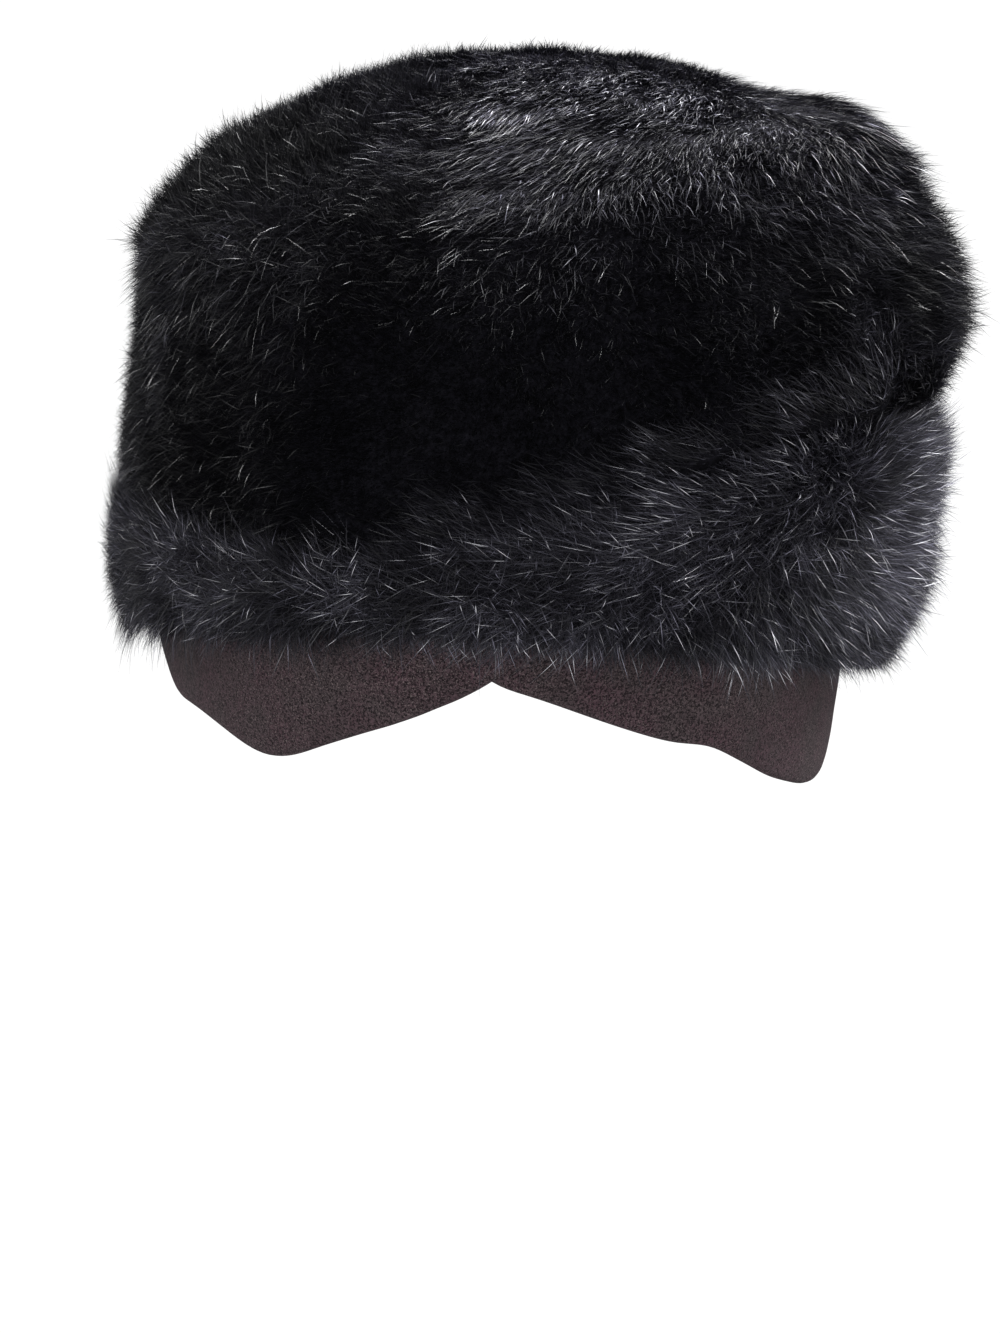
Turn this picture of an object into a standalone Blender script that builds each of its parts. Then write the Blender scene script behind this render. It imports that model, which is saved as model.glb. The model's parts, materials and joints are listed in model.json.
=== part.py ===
"""A papakha: a tall fur hat with a turned-up fur cuff and a wool ear band folded down from inside it.

Run with: blender --background --python part.py
Metres, +Z up. The front of the hat faces -Y. The origin is where the top of the head bears on the
inside of the crown, so the hat hangs below it and only the top pile rises above it.
"""

import bisect
import math
import random
from collections import namedtuple

import bmesh
import bpy
from mathutils import Vector

# Pelt, the skin side of the fur that makes the hollow body
PELT_HALF_WIDTH = 0.0915
PELT_HALF_LENGTH = 0.1055
PELT_THICK = 0.0025
RIM_AT_FOREHEAD = -0.102
RIM_DIP = 0.036  # how much lower the rim hangs at the nape than over the forehead
RIM_TILT = 0.003  # the rim also hangs lower at +X
SHOULDER_START = -0.055  # height at which the upright wall begins to round over
CROWN_FULLNESS = 2.8  # 2 rounds the shoulder as an ellipse does, more makes it squarer
CROWN_RISE = 0.085  # the height over the rim at which the crown has its full lean and narrowing
CROWN_LEAN = 0.0105  # the slumped crown leans this far to +X
CROWN_NARROWING = 0.003

# Pile, the long hair that stands on the pelt
SEAM_CLIMB = 1.625  # where the side panel's pile meets the top panel's, in steps of pelt_point's climb
LOCK_RELIEF = 0.0036
LOCK_SHIFT = 0.0055  # a lock's tip hangs this far over the roots of the next lock
LOCKS_AROUND = 28

# Ear band, a doubled strip of wool cloth that starts inside the rim and hangs below the fur
BAND_THICK = 0.0024
BAND_TUCK = 0.013  # how far the band reaches up inside the rim

# Clearances between pieces that touch in the real hat
GAP = 0.0006
SEAM_GAP = 0.0004

# How finely the faces follow the shapes
COLUMNS = 2 * LOCKS_AROUND
WALL_CLIMBS = (0.0, 0.25, 0.5, 0.75)
DOME_CLIMBS = (1.0, 1.125, 1.25, 1.375, 1.5, 1.625, 1.75, 1.875)
BAND_COLUMNS = 72
BAND_ROWS = 7
LOCK_STEPS = (0.0, 0.5, 0.92)

TOP_HEIGHT = PELT_THICK
TURN = 2 * math.pi

# The depth to which each panel's pile stands
SIDE_PILE = 0.0158
TOP_PILE = 0.0150
CUFF_PILE = 0.0152

# Where the top of the cuff meets the side of the crown: a fold that climbs across the front
Crease = namedtuple("Crease", "degrees height")
CREASES = (
    Crease(-180, -0.0880),
    Crease(-90, -0.0890),
    Crease(-50, -0.0860),
    Crease(-13, -0.0860),
    Crease(15, -0.0715),
    Crease(32, -0.0625),
    Crease(50, -0.0605),
    Crease(90, -0.0685),
    Crease(135, -0.0790),
    Crease(180, -0.0880),
)

# How the pile's depth runs from the pelt's rim side (share 0) to the other end of each panel. depth is a
# share of the panel's own depth; lopside is how much deeper it stands at +X, and flatter at -X.
Depth = namedtuple("Depth", "share depth lopside")
CUFF_DEPTHS = (
    Depth(-0.13, 0.25, 0.0014),
    Depth(-0.05, 0.39, 0.0040),
    Depth(0.12, 0.62, 0.0066),
    Depth(0.34, 0.90, 0.0066),
    Depth(0.60, 1.00, 0.0070),
    Depth(0.84, 0.92, 0.0070),
    Depth(1.00, 0.73, 0.0063),
)
CUFF_UNDERSIDE_DEPTH = 0.0015
CUFF_UNDERSIDE_SHARE = -0.10
CUFF_SPAN_BELOW = 0.042  # the length that a share below 0, under the rim, is a share of
FULL_LOCK_SPAN = 0.045  # where the cuff is lower than this its locks are smaller to match
SIDE_DEPTHS = (
    Depth(0.00, 0.71, 0.0062),
    Depth(0.12, 0.83, 0.0070),
    Depth(0.30, 0.96, 0.0074),
    Depth(0.50, 0.96, 0.0062),
    Depth(0.68, 1.11, 0.0000),
    Depth(0.84, 1.15, 0.0028),
    Depth(0.93, 0.83, 0.0012),
    Depth(1.00, 0.84, -0.0011),
)
TOP_DEPTHS = (
    Depth(0.00, 0.89, -0.0011),
    Depth(0.30, 0.94, -0.0008),
    Depth(0.60, 1.07, 0.0012),
    Depth(1.00, 1.26, 0.0000),
)

# The ear band's lower edge. The strip runs from its end on the wearer's left, tucked under, round
# by the nape to its end on the wearer's right, which lies on top. inward is how far the edge leans in.
Edge = namedtuple("Edge", "degrees height inward")
BAND_EDGE = (
    Edge(-12, -0.1030, 0.0000),
    Edge(-2, -0.1176, 0.0010),
    Edge(9, -0.1237, 0.0015),
    Edge(23, -0.1323, 0.0020),
    Edge(30, -0.1361, 0.0022),
    Edge(35, -0.1370, 0.0024),
    Edge(43, -0.1437, 0.0027),
    Edge(53, -0.1522, 0.0030),
    Edge(65, -0.1588, 0.0020),
    Edge(74, -0.1590, 0.0018),
    Edge(85, -0.1545, 0.0020),
    Edge(100, -0.1520, 0.0026),
    Edge(130, -0.1525, 0.0045),
    Edge(180, -0.1535, 0.0050),
    Edge(230, -0.1500, 0.0050),
    Edge(262, -0.1435, 0.0048),
    Edge(284, -0.1388, 0.0045),
    Edge(298, -0.1380, 0.0040),
    Edge(309, -0.1408, 0.0035),
    Edge(316, -0.1431, 0.0035),
    Edge(322, -0.1418, 0.0035),
    Edge(331, -0.1358, 0.0025),
    Edge(344, -0.1278, 0.0018),
    Edge(358, -0.1180, 0.0010),
    Edge(363, -0.1112, 0.0000),
    Edge(371, -0.1010, 0.0000),
)

# Soft folds in the hanging cloth: each is a ripple that runs up the band at a slant
Fold = namedtuple("Fold", "degrees width_degrees depth slant_degrees")
BAND_FOLDS = (
    Fold(37, 7, 0.0016, 12),
    Fold(78, 12, -0.0012, -6),
    Fold(150, 14, 0.0012, 8),
    Fold(214, 14, -0.0014, -8),
    Fold(292, 10, 0.0016, -10),
    Fold(330, 8, -0.0009, 8),
)
UNDERLAP_STARTS, UNDERLAP_ENDS = 16, 44  # degrees over which the tucked end eases back out


def smooth(share):
    """An even start and an even stop between 0 and 1."""
    share = min(max(share, 0.0), 1.0)
    return share * share * (3 - 2 * share)


def between(low, high, share):
    return low + (high - low) * share


def read_table(table, where, column):
    """The value of a column where the table's first column is `where`, in a straight line between rows."""
    firsts = [row[0] for row in table]
    after = min(max(bisect.bisect_right(firsts, where), 1), len(table) - 1)
    low, high = table[after - 1], table[after]
    share = min(max((where - low[0]) / (high[0] - low[0]), 0.0), 1.0)
    return between(getattr(low, column), getattr(high, column), share)


def clear_scene():
    for old in list(bpy.data.objects):
        bpy.data.objects.remove(old)


def make_material(name, colour, roughness):
    material = bpy.data.materials.new(name)
    material.use_nodes = True
    shader = material.node_tree.nodes["Principled BSDF"]
    shader.inputs["Base Color"].default_value = (*colour, 1.0)
    shader.inputs["Roughness"].default_value = roughness
    shader.inputs["Metallic"].default_value = 0.0
    return material


def finish_object(name, mesh_builder, collection, material):
    """Turns a bmesh into a named, smooth-shaded object in the hat's collection."""
    bmesh.ops.recalc_face_normals(mesh_builder, faces=mesh_builder.faces)
    closed = all(edge.is_manifold for edge in mesh_builder.edges)
    if closed and mesh_builder.calc_volume(signed=True) < 0:
        bmesh.ops.reverse_faces(mesh_builder, faces=mesh_builder.faces)
    mesh = bpy.data.meshes.new(name)
    mesh_builder.to_mesh(mesh)
    mesh_builder.free()
    mesh.shade_smooth()
    mesh.set_sharp_from_angle(angle=math.radians(50))
    mesh.materials.append(material)
    made = bpy.data.objects.new(name, mesh)
    collection.objects.link(made)
    return made


def add_faces(builder, lower, upper, wraps):
    """Joins two rows of vertices. A row of one vertex is a pole."""
    count = max(len(lower), len(upper))
    for column in range(count if wraps else count - 1):
        after = (column + 1) % count
        if len(lower) == 1:
            corners = (lower[0], upper[after], upper[column])
        elif len(upper) == 1:
            corners = (lower[column], lower[after], upper[0])
        else:
            corners = (lower[column], lower[after], upper[after], upper[column])
        builder.faces.new(corners)


def loft(rows, wraps, closes):
    """A bmesh skin through rows of points. wraps joins each row's ends, closes joins the last row to the first."""
    builder = bmesh.new()
    made = [[builder.verts.new(point) for point in row] for row in rows]
    pairs = list(zip(made, made[1:]))
    if closes:
        pairs.append((made[-1], made[0]))
    for lower, upper in pairs:
        add_faces(builder, lower, upper, wraps)
    return builder


def rim_height(angle):
    """Height of the pelt's rim: highest over the forehead, lowest at the nape."""
    return RIM_AT_FOREHEAD - RIM_DIP * (1 - math.cos(angle / 2) ** 4) - RIM_TILT * math.sin(angle)


def crease_height(angle):
    degrees = (math.degrees(angle) + 180) % 360 - 180
    return read_table(CREASES, degrees, "height")


def oval_point(angle, height, share=1.0, inset=0.0):
    """A point of the hat's oval plan: share shrinks it towards the middle, inset moves it in by a length."""
    risen = smooth((height - RIM_AT_FOREHEAD) / CROWN_RISE)
    inset += CROWN_NARROWING * risen
    across = share * (PELT_HALF_WIDTH - inset) * math.sin(angle)
    along = -share * (PELT_HALF_LENGTH - inset) * math.cos(angle)
    return Vector((across + CROWN_LEAN * risen, along, height))


def pelt_point(angle, climb):
    """The pelt's outer face. climb is 0 at the rim, 1 where the wall rounds over, 2 at the top's middle."""
    if climb <= 1:
        return oval_point(angle, between(rim_height(angle), SHOULDER_START, climb))
    turned = min(climb - 1, 1.0) * math.pi / 2
    out, up = math.cos(turned), math.sin(turned)
    reach = (out**CROWN_FULLNESS + up**CROWN_FULLNESS) ** (-1 / CROWN_FULLNESS)
    height = SHOULDER_START + (TOP_HEIGHT - SHOULDER_START) * up * reach
    return oval_point(angle, height, out * reach)


def outward(angle):
    """Level direction away from the hat's oval wall."""
    across = math.sin(angle) / PELT_HALF_WIDTH
    along = -math.cos(angle) / PELT_HALF_LENGTH
    return Vector((across, along, 0.0)).normalized()


def pelt_normal(angle, climb):
    """Outward direction of the pelt: level on the wall, from two short steps along it above that."""
    if climb <= 1:
        return outward(angle)
    step = 0.004
    climb = min(climb, 2 - 2 * step)
    around = pelt_point(angle + step, climb) - pelt_point(angle - step, climb)
    upwards = pelt_point(angle, climb + step) - pelt_point(angle, climb - step)
    return around.cross(upwards).normalized()


def off_pelt(angle, climb):
    """The point of the pile's inner face over this point of the pelt."""
    return pelt_point(angle, climb) + pelt_normal(angle, climb) * GAP


def climb_of_height(angle, height):
    rim = rim_height(angle)
    return (height - rim) / (SHOULDER_START - rim)


def column_angles():
    return [TURN * column / COLUMNS for column in range(COLUMNS)]


def make_pelt(collection):
    """The hollow body: an open skin over the whole crown, thickened inwards."""
    rows = [[pelt_point(angle, climb) for angle in column_angles()] for climb in WALL_CLIMBS + DOME_CLIMBS]
    rows.append([pelt_point(0.0, 2.0)])
    skin = loft(rows, wraps=True, closes=False)
    backing = make_material("knit_backing", (0.022, 0.020, 0.021), 0.9)
    pelt = finish_object("crown_pelt", skin, collection, backing)
    wall = pelt.modifiers.new("Wall", "SOLIDIFY")
    wall.thickness = PELT_THICK
    wall.offset = -1.0
    wall.use_even_offset = True
    return pelt


class LockField:
    """Relief of overlapping pointed locks of hair, staggered from row to row."""

    def __init__(self, seed):
        self.seed = seed

    def strength(self, row, column):
        """About 1 on a lock's ridge, a little different on each lock, and 0 in the valley beside it."""
        if (row + column) % 2:
            return 0.0
        return random.Random(f"{self.seed} {row} {column}").uniform(0.6, 1.3)

    def rise(self, row, column, step):
        return LOCK_RELIEF * step * self.strength(row, column)

    def slide(self, row, column, step):
        """How far a ridge reaches towards its tip; the valleys draw back by half as much."""
        return LOCK_SHIFT * step * step * (self.strength(row, column) or -0.5)

    def sway(self, row, column, step):
        """The angle by which a lock's tip hangs to one side."""
        turn = random.Random(f"{self.seed} {column} {row} sway").uniform(-0.4, 0.4)
        return turn * step * TURN / COLUMNS if self.strength(row, column) else 0.0


def lock_rings(count):
    """(share, lock row, how far along the lock) of each ring of points, from the roots' end to the tips' end."""
    return [((row + step) / count, row, step) for row in range(count) for step in LOCK_STEPS]


def pile_depth(pile, angle, table, share):
    """Depth of the pile at a share of the panel, with what it has more at +X than at -X."""
    return pile * read_table(table, share, "depth") + read_table(table, share, "lopside") * math.sin(angle)


def make_side_fur(collection, fur):
    """The side panel's pile, from the seam round the top down to the crease above the cuff. Locks point down."""
    lock_rows = 6
    locks = LockField("side")
    angles = column_angles()

    def climb_at(angle, share):
        low = climb_of_height(angle, crease_height(angle) + SEAM_GAP / 2)
        return between(low, SEAM_CLIMB, share)

    def outer(angle, column, share, row, step):
        angle += locks.sway(row, column, step)
        climb = climb_at(angle, share)
        normal = pelt_normal(angle, climb)
        depth = pile_depth(SIDE_PILE, angle, SIDE_DEPTHS, share)
        edge = smooth(share / 0.15) * smooth((1 - share) / 0.1)
        point = pelt_point(angle, climb) + normal * (depth + edge * locks.rise(row, column, step))
        down = normal.cross(normal.cross(Vector((0, 0, 1))))
        if down.length > 1e-6:
            point += down.normalized() * edge * locks.slide(row, column, step)
        return point

    def ring(share, row, step):
        return [outer(angle, column, share, row, step) for column, angle in enumerate(angles)]

    rows = [ring(1 - share, row, step) for share, row, step in lock_rings(lock_rows)]
    rows.append(ring(0.0, lock_rows, 0.0))
    for share in (0.0, 0.5):
        rows.append([off_pelt(angle, between(climb_at(angle, 0.0), 1.0, share)) for angle in angles])
    for climb in DOME_CLIMBS:
        if climb <= SEAM_CLIMB:
            rows.append([off_pelt(angle, climb) for angle in angles])
    return finish_object("crown_side_fur", loft(rows, wraps=True, closes=True), collection, fur)


def make_top_fur(collection, fur):
    """The top panel's pile, a low dome on the crown. Locks point from its middle out to the seam."""
    lock_rows = 4
    locks = LockField("top")
    angles = column_angles()
    seam = SEAM_CLIMB + SEAM_GAP / (2 * (PELT_HALF_WIDTH / 2))

    def outer(angle, column, share, row, step):
        climb = between(2.0, seam, share)
        normal = pelt_normal(angle, climb)
        depth = pile_depth(TOP_PILE, angle, TOP_DEPTHS, 1 - share)
        edge = smooth(share / 0.5) * smooth((1 - share) / 0.1)
        point = pelt_point(angle, climb) + normal * (depth + edge * locks.rise(row, column, step))
        return point + outward(angle) * edge * locks.slide(row, column, step)

    middle = pelt_point(0.0, 2.0)
    rows = [[middle + Vector((0, 0, TOP_PILE * TOP_DEPTHS[-1].depth))]]
    for share, row, step in lock_rings(lock_rows)[1:]:
        rows.append([outer(angle, column, share, row, step) for column, angle in enumerate(angles)])
    rows.append([outer(angle, column, 1.0, lock_rows, 0.0) for column, angle in enumerate(angles)])
    rows.append([off_pelt(angle, seam) for angle in angles])
    for climb in DOME_CLIMBS:
        if climb > SEAM_CLIMB:
            rows.append([off_pelt(angle, climb) for angle in angles])
    rows.append([middle + Vector((0, 0, GAP))])
    return finish_object("crown_top_fur", loft(rows, wraps=True, closes=False), collection, fur)


def make_cuff_fur(collection, fur):
    """The turned-up cuff: hair above its middle points up and hair below it points down, over the rim."""
    rows_up, rows_down = 2, 2
    parting = 0.5
    locks = LockField("cuff")
    angles = column_angles()

    def span_at(angle):
        return crease_height(angle) - SEAM_GAP / 2 - rim_height(angle)

    def point_at(angle, share, depth):
        span = span_at(angle) if share > 0 else CUFF_SPAN_BELOW
        return oval_point(angle, rim_height(angle) + share * span) + outward(angle) * depth

    def outer(angle, column, share, row, step, way):
        angle += locks.sway(row, column, step)
        size = smooth((1 - share) / 0.15) * smooth((share + 0.12) / 0.2) * min(span_at(angle) / FULL_LOCK_SPAN, 1)
        depth = pile_depth(CUFF_PILE, angle, CUFF_DEPTHS, share)
        point = point_at(angle, share, depth + size * locks.rise(row, column, step))
        point.z += way * size * locks.slide(row, column, step)
        return point

    def ring(share, row, step, way):
        return [outer(angle, column, share, row, step, way) for column, angle in enumerate(angles)]

    lowest = CUFF_DEPTHS[0].share
    rows = [ring(1.0, rows_up, 0.0, 1)]
    for share, row, step in reversed(lock_rings(rows_up)):
        rows.append(ring(between(parting, 1.0, share), row, step, 1))
    for share, row, step in lock_rings(rows_down)[1:]:
        rows.append(ring(between(parting, lowest, share), row + 1, step, -1))
    rows.append(ring(lowest, rows_down + 2, 0.0, -1))
    rows.append([point_at(angle, CUFF_UNDERSIDE_SHARE, CUFF_UNDERSIDE_DEPTH) for angle in angles])
    rows += [[point_at(angle, share, GAP) for angle in angles] for share in (0.0, 0.35, 0.7, 1.0)]
    return finish_object("cuff_fur", loft(rows, wraps=True, closes=True), collection, fur)


def fold_depth(degrees, drop):
    """How far the soft folds push the cloth out here. drop is 0 at the rim and 1 at the lower edge."""
    pushed = 0.0
    for fold in BAND_FOLDS:
        off = (degrees - fold.degrees - fold.slant_degrees * (1 - drop)) / fold.width_degrees
        pushed += fold.depth * math.exp(-off * off)
    return pushed * smooth(drop)


def band_point(degrees, share):
    """The band's outer face. share is 0 at its upper edge, inside the hat, and 1 at its lower edge."""
    angle = math.radians(degrees)
    rim = rim_height(angle)
    low = read_table(BAND_EDGE, degrees, "height")
    height = between(rim + BAND_TUCK, low, share)
    drop = min(max((rim - height) / max(rim - low, 0.001), 0.0), 1.0)
    tucked = 1 - smooth((degrees - UNDERLAP_STARTS) / (UNDERLAP_ENDS - UNDERLAP_STARTS))
    inset = PELT_THICK + GAP + tucked * (BAND_THICK + GAP)
    inset += read_table(BAND_EDGE, degrees, "inward") * drop**1.4
    inset -= fold_depth(degrees, drop)
    return oval_point(angle, height, inset=inset)


def make_ear_band(collection):
    """One strip of doubled wool cloth round the hat, its ends crossed over the forehead."""
    first, last = BAND_EDGE[0].degrees, BAND_EDGE[-1].degrees
    degrees = [between(first, last, column / BAND_COLUMNS) for column in range(BAND_COLUMNS + 1)]
    shares = [row / BAND_ROWS for row in range(BAND_ROWS + 1)]
    rows = [[band_point(at, share) for at in degrees] for share in shares]
    skin = loft(rows, wraps=False, closes=False)
    wool = make_material("brown_wool", (0.042, 0.031, 0.030), 0.95)
    band = finish_object("ear_band", skin, collection, wool)
    cloth = band.modifiers.new("Cloth", "SOLIDIFY")
    cloth.thickness = BAND_THICK
    cloth.offset = -1.0
    cloth.use_even_offset = True
    return band


def make_papakha():
    clear_scene()
    collection = bpy.data.collections.new("papakha")
    bpy.context.scene.collection.children.link(collection)
    fur = make_material("black_fur", (0.008, 0.008, 0.010), 0.55)
    make_pelt(collection)
    make_side_fur(collection, fur)
    make_top_fur(collection, fur)
    make_cuff_fur(collection, fur)
    make_ear_band(collection)


make_papakha()
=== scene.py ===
import json
import math
from collections import namedtuple

import bmesh
import bpy
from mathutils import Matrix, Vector, noise
from mathutils.bvhtree import BVHTree

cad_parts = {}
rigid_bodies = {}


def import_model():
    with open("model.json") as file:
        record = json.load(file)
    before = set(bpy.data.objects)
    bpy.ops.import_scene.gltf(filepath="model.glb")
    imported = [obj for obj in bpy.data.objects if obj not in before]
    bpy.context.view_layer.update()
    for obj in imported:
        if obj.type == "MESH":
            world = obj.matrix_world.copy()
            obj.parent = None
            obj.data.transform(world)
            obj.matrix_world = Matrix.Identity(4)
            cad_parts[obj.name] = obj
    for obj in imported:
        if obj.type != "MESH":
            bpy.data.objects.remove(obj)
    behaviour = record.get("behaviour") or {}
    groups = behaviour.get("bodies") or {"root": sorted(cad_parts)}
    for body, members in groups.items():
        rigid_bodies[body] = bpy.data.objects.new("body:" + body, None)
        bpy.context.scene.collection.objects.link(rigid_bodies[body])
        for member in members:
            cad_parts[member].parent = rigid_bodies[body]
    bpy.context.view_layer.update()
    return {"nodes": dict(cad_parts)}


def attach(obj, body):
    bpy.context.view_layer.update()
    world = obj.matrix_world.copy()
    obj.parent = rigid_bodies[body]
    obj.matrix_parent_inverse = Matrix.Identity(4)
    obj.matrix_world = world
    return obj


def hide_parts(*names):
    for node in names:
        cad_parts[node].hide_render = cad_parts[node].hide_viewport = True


for left_over in list(bpy.data.objects):
    bpy.data.objects.remove(left_over)

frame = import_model()
nodes = frame["nodes"]


# The pelt: the knitted backing that the pile is rooted in, seen only from below, inside the hat.
# It is a machine-knitted cloth, dark grey and matte, with the fine ribs of its stitches.

def is_vector(value):
    """Whether a constant or an output of a node tree is a vector or a colour."""
    if isinstance(value, Value):
        return value.socket.type in {"VECTOR", "RGBA"}
    return isinstance(value, (tuple, Vector))


class Value:
    """One output of a node tree, which Python's arithmetic joins to others by maths nodes."""

    def __init__(self, graph, socket):
        self.graph, self.socket = graph, socket

    def call(self, operation, *others):
        """A maths node of this operation, on vectors where any of its values is one."""
        values = [self, *others]
        if not any(is_vector(value) for value in values):
            return self.graph.node("ShaderNodeMath", {"operation": operation}, dict(enumerate(values)))
        values = [value if is_vector(value) else (value,) * 3 for value in values]
        output = "Value" if operation in {"DOT_PRODUCT", "LENGTH"} else "Vector"
        settings, inputs = {"operation": operation}, dict(enumerate(values))
        return self.graph.node("ShaderNodeVectorMath", settings, inputs, output)

    def scaled(self, factor):
        settings, inputs = {"operation": "SCALE"}, {"Vector": self, "Scale": factor}
        return self.graph.node("ShaderNodeVectorMath", settings, inputs, "Vector")

    def part(self, axis):
        return self.graph.node("ShaderNodeSeparateXYZ", None, {0: self}, axis)

    def ramp(self, low, high, to_low=0.0, to_high=1.0):
        """Eases from to_low to to_high while this value goes from low to high, and stays beyond."""
        settings = {"interpolation_type": "SMOOTHSTEP"}
        inputs = {"Value": self, "From Min": low, "From Max": high, "To Min": to_low, "To Max": to_high}
        return self.graph.node("ShaderNodeMapRange", settings, inputs, "Result")

    def __add__(self, other):
        return self.call("ADD", other)

    def __radd__(self, other):
        return self.call("ADD", other)

    def __sub__(self, other):
        return self.call("SUBTRACT", other)

    def __rsub__(self, other):
        return (self * -1).call("ADD", other)

    def __mul__(self, other):
        if is_vector(self) and not is_vector(other):
            return self.scaled(other)
        if is_vector(other) and isinstance(other, Value) and not is_vector(self):
            return other.scaled(self)
        return self.call("MULTIPLY", other)

    def __rmul__(self, other):
        return self * other


class Graph:
    """A node tree that is built by calls."""

    def __init__(self, tree):
        self.tree = tree

    def node(self, kind, settings=None, inputs=None, output=0):
        """Adds a node and returns the output asked for. Inputs are constants or values of this graph."""
        made = self.tree.nodes.new(kind)
        for name, setting in (settings or {}).items():
            setattr(made, name, setting)
        for name, value in (inputs or {}).items():
            self.plug(made.inputs[name], value)
        return Value(self, made.outputs[output])

    def plug(self, socket, value):
        """Links a value to a socket, or sets the socket to a constant."""
        if isinstance(value, Value):
            self.tree.links.new(value.socket, socket)
        else:
            socket.default_value = value

    def noise(self, place, scale, detail=2.0, roughness=0.5, output="Fac"):
        """Soft noise. Its scale is the number of its features in a metre."""
        inputs = {"Vector": place, "Scale": scale, "Detail": detail, "Roughness": roughness}
        return self.node("ShaderNodeTexNoise", None, inputs, output)

    def mix_colour(self, factor, first, second):
        made = self.tree.nodes.new("ShaderNodeMix")
        made.data_type = "RGBA"
        self.plug(made.inputs[0], factor)
        for socket, colour in zip((made.inputs[6], made.inputs[7]), (first, second)):
            self.plug(socket, colour if isinstance(colour, Value) else (*colour, 1.0))
        return Value(self, made.outputs[2])


def new_material(name, **constants):
    """A Principled material with its constants set. Returns it, its graph and its shader node."""
    material = bpy.data.materials.new(name)
    material.use_nodes = True
    shader = material.node_tree.nodes["Principled BSDF"]
    for socket, value in constants.items():
        shader.inputs[socket.replace("_", " ")].default_value = value
    return material, Graph(material.node_tree), shader


def bump(graph, shader, height, distance, strength):
    """Relief of a height from 0 to 1, which stands for a distance in metres."""
    inputs = {"Height": height, "Distance": distance, "Strength": strength}
    graph.plug(shader.inputs["Normal"], graph.node("ShaderNodeBump", None, inputs, "Normal"))


def set_material(piece, material):
    piece.data.materials.clear()
    piece.data.materials.append(material)


PELT_ARC = 0.095  # mean radius of the pelt, which turns angles into lengths of knitting
STITCH_WIDTH, STITCH_HEIGHT, STITCH_RELIEF = 0.0013, 0.0011, 0.0002


def knit_material():
    """Plain knitting in dark greys: ribs up and down, rows of stitches round, a little patchy."""
    material, graph, shader = new_material("knit_backing_detail", Roughness=0.92, Sheen_Weight=0.15)
    place = graph.node("ShaderNodeTexCoord", output="Object")
    x, y, z = (place.part(axis) for axis in "XYZ")
    around = y.call("ARCTAN2", x) * PELT_ARC
    wales = (around * (math.tau / STITCH_WIDTH)).call("SINE")
    courses = (z * (math.tau / STITCH_HEIGHT)).call("SINE")
    stitches = wales * 0.6 + courses * 0.4
    patches = graph.noise(place, 60.0)
    shade = stitches.ramp(-1, 1) * 0.6 + patches * 0.4
    colour = graph.mix_colour(shade, (0.010, 0.009, 0.010), (0.040, 0.037, 0.038))
    graph.plug(shader.inputs["Base Color"], colour)
    bump(graph, shader, stitches, STITCH_RELIEF, 0.5)
    return material


set_material(nodes["crown_pelt"], knit_material())


# The ear band: a strip of brown wool cloth, folded double along its lower edge, so that edge is soft
# and round. It is sewn in behind the rim and hangs free; its right end lies over its left end.

BAND_ARC = 0.0965  # mean radius of the band's oval, which turns angles into lengths of cloth
TWILL_PITCH, WOOL_RELIEF = 0.0016, 0.0004
WELD_DISTANCE = 1e-5
REFILLED = 0.8  # how much of what rounding takes off the band is put on beforehand


def welded_copy(node):
    """A bmesh of a CAD node with its triangles joined back into quads."""
    mesh = bmesh.new()
    mesh.from_mesh(node.data)
    bmesh.ops.remove_doubles(mesh, verts=mesh.verts, dist=WELD_DISTANCE)
    angles = {"angle_face_threshold": 1.2, "angle_shape_threshold": 1.6}
    bmesh.ops.join_triangles(mesh, faces=mesh.faces, **angles)
    return mesh


def new_piece(name, mesh, material, *replaced):
    """Links a finished mesh as a piece that rides on the hat and replaces these CAD nodes."""
    piece = bpy.data.objects.new(name, mesh)
    bpy.context.scene.collection.objects.link(piece)
    set_material(piece, material)
    mesh.shade_smooth()
    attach(piece, "root")
    if replaced:
        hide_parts(*replaced)
    return piece


def flatten_modifiers(helper, name):
    """The mesh that an object's modifiers give, as plain data. The object is removed."""
    bpy.context.view_layer.update()
    evaluated = helper.evaluated_get(bpy.context.evaluated_depsgraph_get())
    mesh = bpy.data.meshes.new_from_object(evaluated)
    mesh.name = name
    bpy.data.objects.remove(helper)
    return mesh


def rounded(cage):
    """A cage subdivided twice."""
    helper = bpy.data.objects.new("ear_band_cage", cage)
    bpy.context.scene.collection.objects.link(helper)
    smoother = helper.modifiers.new("Round", "SUBSURF")
    smoother.levels = smoother.render_levels = 2
    return flatten_modifiers(helper, "ear_band_cloth")


def cloth_mesh(node):
    """The band's solid with its edges rounded off like folded cloth, and with cloth coordinates."""
    rough = welded_copy(node)
    cage = bpy.data.meshes.new("ear_band_cage")
    rough.to_mesh(cage)
    rough.free()
    shrunk = rounded(cage)
    for kept, pulled in zip(cage.vertices, shrunk.vertices):
        kept.co += (kept.co - pulled.co) * REFILLED
    mesh = rounded(cage)
    cloth = mesh.uv_layers.new(name="Cloth")
    for loop in mesh.loops:
        spot = mesh.vertices[loop.vertex_index].co
        cloth.data[loop.index].uv = (math.atan2(spot.x, -spot.y) * BAND_ARC, spot.z)
    return mesh


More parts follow.
